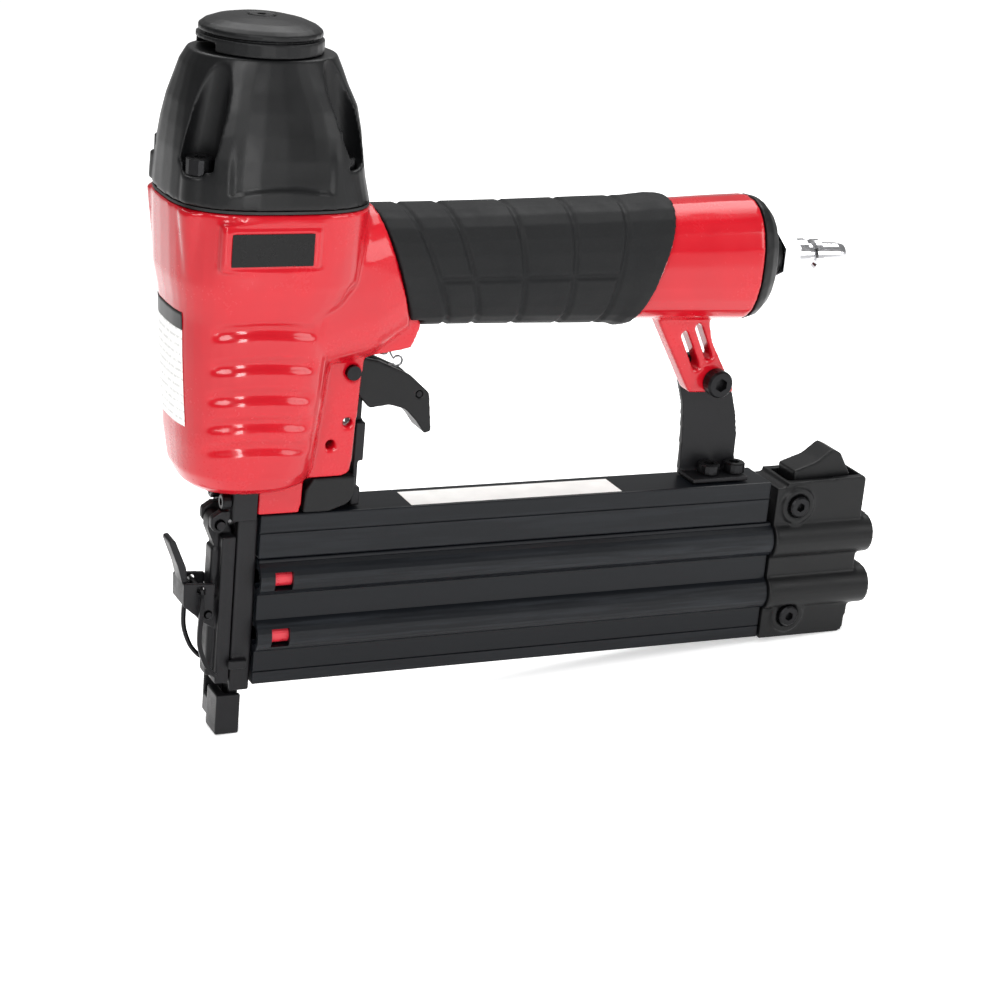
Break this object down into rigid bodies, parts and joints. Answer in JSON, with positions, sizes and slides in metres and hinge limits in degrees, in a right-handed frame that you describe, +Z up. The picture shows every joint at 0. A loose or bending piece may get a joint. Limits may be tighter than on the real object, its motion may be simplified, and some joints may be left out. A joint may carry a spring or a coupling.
{
  "type": "pneumatic nail gun",
  "caption": "Compressed-air brad nailer: upright cylinder head on a driver nose, level hollow grip with an air plug, trigger, contact safety and a sliding nail magazine tied to the grip.",
  "frame": {"origin": "middle of the tool's length and width, level with the lower end of the contact tip", "axes": "+X from the head towards the air plug, +Y away from the name plate side, +Z up along the driver's axis from the contact tip to the exhaust deflector"},
  "size_m": [0.2694, 0.056, 0.2366],
  "materials": {
    "red_paint": "gloss enamel",
    "satin_black": "satin",
    "grip_rubber": "matt",
    "anodised": "dark anodised",
    "aluminium": "machined",
    "dark_steel": "black oxide",
    "bright_steel": "polished",
    "seal_rubber": "matt",
    "red_plastic": "gloss"
  },
  "bodies": {
    "tool": {"body_casting": "red_paint", "cylinder_cap": "satin_black", "head_gasket": "seal_rubber", "cap_screw_1": "dark_steel", "cap_screw_2": "dark_steel", "cap_screw_3": "dark_steel", "cap_screw_4": "dark_steel", "cylinder_sleeve": "aluminium", "bumper": "seal_rubber", "head_valve_spring": "bright_steel", "deflector_screw": "dark_steel", "grip_sleeve": "grip_rubber", "handle_end_cap": "satin_black", "air_plug": "bright_steel", "trigger_pin": "dark_steel", "trigger_valve_body": "aluminium", "valve_spring": "bright_steel", "trigger_spring": "bright_steel", "nose_body": "dark_steel", "nose_screw_near": "dark_steel", "nose_screw_far": "dark_steel", "door_hinge_pin": "dark_steel", "safety_cover": "satin_black", "safety_spring": "bright_steel", "magazine_rail": "anodised", "hanger_bracket": "dark_steel", "hanger_screw_front": "dark_steel", "hanger_screw_rear": "dark_steel", "lug_bolt": "dark_steel", "lug_nut": "dark_steel", "name_plate": "satin_black"},
    "head_valve": {"head_valve": "aluminium"},
    "deflector": {"exhaust_deflector": "satin_black"},
    "driver": {"piston": "aluminium", "piston_ring": "seal_rubber", "driver_blade": "bright_steel"},
    "trigger": {"trigger": "satin_black", "trip_lever_pin": "dark_steel"},
    "trip_lever": {"trip_lever": "dark_steel"},
    "valve_stem": {"valve_stem": "bright_steel"},
    "safety": {"contact_tip": "dark_steel", "safety_arm": "dark_steel"},
    "door": {"nose_door": "dark_steel", "latch_pin": "dark_steel"},
    "latch_lever": {"latch_lever": "dark_steel"},
    "latch_bail": {"latch_bail": "bright_steel"},
    "magazine": {"magazine_cover": "anodised", "magazine_end_cap": "satin_black", "end_cap_screw_upper": "dark_steel", "end_cap_screw_lower": "dark_steel", "magazine_latch_pin": "dark_steel", "magazine_latch_spring": "bright_steel", "guide_rod_upper": "bright_steel", "guide_rod_lower": "bright_steel", "pusher_spring_upper": "bright_steel", "pusher_spring_lower": "bright_steel"},
    "magazine_latch": {"magazine_latch": "satin_black"},
    "pusher": {"pusher": "dark_steel", "indicator_upper": "red_plastic", "indicator_lower": "red_plastic"}
  },
  "joints": [
    {"name": "deflector_turn", "type": "hinge", "parent": "tool", "child": "deflector", "pos_m": [-0.10535, 0, 0.233], "axis": [0, 0, 1], "continuous": true},
    {"name": "head_valve_lift", "type": "slide", "parent": "tool", "child": "head_valve", "axis": [0, 0, 1], "range_m": [0, 0.003], "stiffness_N_per_m": 800, "springref_m": -0.005, "deforming": ["head_valve_spring"]},
    {"name": "piston_stroke", "type": "slide", "parent": "tool", "child": "driver", "axis": [0, 0, -1], "range_m": [0, 0.0617]},
    {"name": "trigger_pull", "type": "hinge", "parent": "tool", "child": "trigger", "pos_m": [-0.07145, 0, 0.1253], "axis": [0, -1, 0], "range_deg": [0, 10], "stiffness_Nm_per_rad": 0.3, "springref_deg": -17.19},
    {"name": "trip_lever_swing", "type": "hinge", "parent": "trigger", "child": "trip_lever", "pos_m": [-0.04575, 0, 0.1154], "axis": [0, 1, 0], "range_deg": [0, 6]},
    {"name": "valve_stem_lift", "type": "slide", "parent": "tool", "child": "valve_stem", "axis": [0, 0, 1], "range_m": [0, 0.002], "deforming": ["valve_spring"]},
    {"name": "safety_slide", "type": "slide", "parent": "tool", "child": "safety", "axis": [0, 0, 1], "range_m": [0, 0.004], "stiffness_N_per_m": 900, "springref_m": -0.02, "deforming": ["safety_spring"]},
    {"name": "door_open", "type": "hinge", "parent": "tool", "child": "door", "pos_m": [-0.11175, 0, 0.0748], "axis": [0, 1, 0], "range_deg": [0, 50]},
    {"name": "latch_lever_turn", "type": "hinge", "parent": "door", "child": "latch_lever", "pos_m": [-0.11415, 0, 0.044], "axis": [0, -1, 0], "range_deg": [0, 75], "stiffness_Nm_per_rad": 0.02, "springref_deg": -22.92},
    {"name": "latch_bail_turn", "type": "hinge", "parent": "latch_lever", "child": "latch_bail", "pos_m": [-0.11685, 0, 0.0525], "axis": [0, 1, 0], "range_deg": [0, 75]},
    {"name": "magazine_slide", "type": "slide", "parent": "tool", "child": "magazine", "axis": [1, 0, 0], "range_m": [0, 0.1]},
    {"name": "magazine_latch_press", "type": "hinge", "parent": "magazine", "child": "magazine_latch", "pos_m": [0.12115, 0, 0.072], "axis": [0, -1, 0], "range_deg": [0, 10], "stiffness_Nm_per_rad": 0.2, "springref_deg": -17.19, "deforming": ["magazine_latch_spring"]},
    {"name": "pusher_slide", "type": "slide", "parent": "magazine", "child": "pusher", "axis": [1, 0, 0], "range_m": [0, 0.15], "stiffness_N_per_m": 15, "springref_m": -0.2, "deforming": ["pusher_spring_upper", "pusher_spring_lower"]}
  ],
  "couplings": [
    {"joint": "trip_lever_swing", "follows": "safety_slide", "rad_per_m": 26},
    {"joint": "valve_stem_lift", "follows": "trigger_pull", "m_per_rad": 0.0114},
    {"joint": "latch_bail_turn", "follows": "latch_lever_turn", "ratio": 1}
  ]
}
